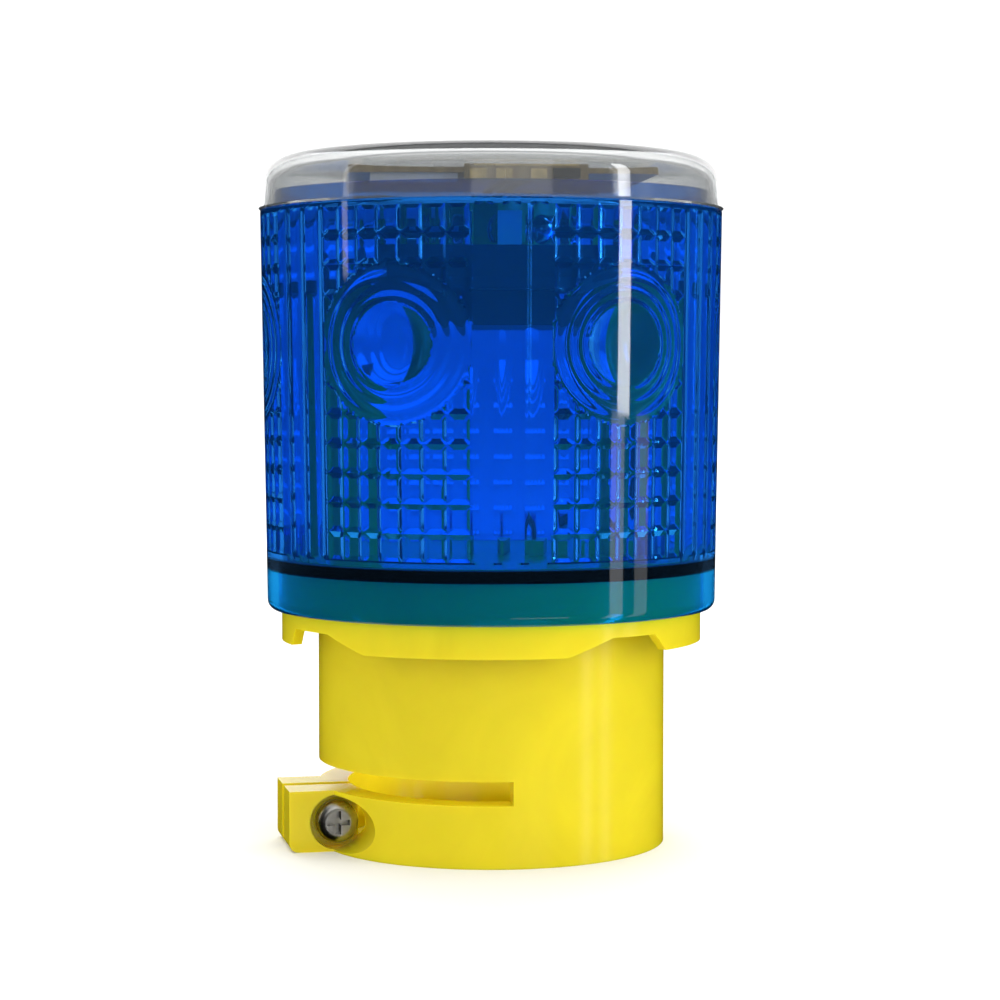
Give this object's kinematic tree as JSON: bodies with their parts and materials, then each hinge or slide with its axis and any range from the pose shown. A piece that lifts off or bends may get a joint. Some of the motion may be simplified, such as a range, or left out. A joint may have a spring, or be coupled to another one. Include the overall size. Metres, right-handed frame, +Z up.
{
  "type": "solar barricade warning light",
  "caption": "Solar warning lamp with a faceted blue lens under a clear cap and a yellow socket that clamps onto a post top.",
  "frame": {"origin": "centre of the post socket's open bottom face", "axes": "+Z up along the socket's axis; the clamp ears point along -X and the clamp screw's head faces -Y"},
  "size_m": [0.08, 0.08, 0.118],
  "materials": {
    "yellow_plastic": "moulded yellow plastic, satin gloss",
    "blue_lens": "transparent blue moulded plastic, glossy",
    "clear_plastic": "clear moulded plastic, glossy",
    "black_rubber": "soft black rubber, matt",
    "black_plastic": "black moulded plastic, fine grain",
    "zinc_steel": "zinc-plated steel",
    "nickel_plate": "nickel-plated spring steel",
    "brass": "gold-flashed brass",
    "cell_wrap": "printed shrink sleeve, plain green",
    "fibreglass": "bare fibreglass laminate",
    "silicon": "dark blue solar cell under resin",
    "solder_mask": "green solder mask",
    "chip_black": "black epoxy package",
    "ferrite": "dark grey ferrite",
    "led_epoxy": "water-clear epoxy",
    "white_plastic": "white nylon",
    "white_foam": "white foam tape",
    "silicone": "milky silicone",
    "red_wire": "red PVC insulation",
    "black_wire": "black PVC insulation",
    "tinned_wire": "tinned lead wire",
    "button_plastic": "black button"
  },
  "bodies": {
    "housing": {"base_socket": "yellow_plastic", "lens": "blue_lens", "top_cap": "clear_plastic", "seal_ring": "black_rubber", "lens_screws": "zinc_steel", "battery_tray": "black_plastic", "tray_screws": "zinc_steel", "battery_cells": "cell_wrap", "cell_contacts": "nickel_plate", "cell_springs": "nickel_plate", "battery_cover": "black_plastic", "led_holder": "yellow_plastic", "leds": "led_epoxy", "led_leads": "tinned_wire", "circuit_board": "solder_mask", "control_chip": "chip_black", "charging_coil": "ferrite", "board_resistors": "chip_black", "wire_connector": "white_plastic", "solar_board": "fibreglass", "solar_strips": "silicon", "panel_adhesive": "silicone", "foam_strips": "white_foam", "charge_board": "fibreglass", "charge_terminals": "brass", "charge_diode": "chip_black", "panel_wire_red": "red_wire", "panel_wire_black": "black_wire", "switch_wire_red": "red_wire", "switch_wire_black": "black_wire", "battery_wire_red": "red_wire", "battery_wire_black": "black_wire", "switch_body": "black_plastic", "switch_retainer": "black_plastic", "retainer_screws": "zinc_steel", "clamp_nut": "zinc_steel"},
    "washer": {"screw_washer": "zinc_steel"},
    "screw": {"clamp_screw": "zinc_steel"},
    "button": {"switch_button": "button_plastic"}
  },
  "joints": [
    {"name": "screw_travel", "type": "slide", "parent": "housing", "child": "washer", "axis": [0, -1, 0], "range_m": [0, 0.0028]},
    {"name": "screw_turn", "type": "hinge", "parent": "washer", "child": "screw", "pos_m": [-0.0283, 0, 0.005], "axis": [0, -1, 0], "range_deg": [0, 1441]},
    {"name": "button_push", "type": "slide", "parent": "housing", "child": "button", "axis": [0, 0, 1], "range_m": [0, 0.0018], "stiffness_N_per_m": 300, "springref_m": -0.001}
  ],
  "couplings": [
    {"joint": "screw_turn", "follows": "screw_travel", "rad_per_m": 8976}
  ]
}
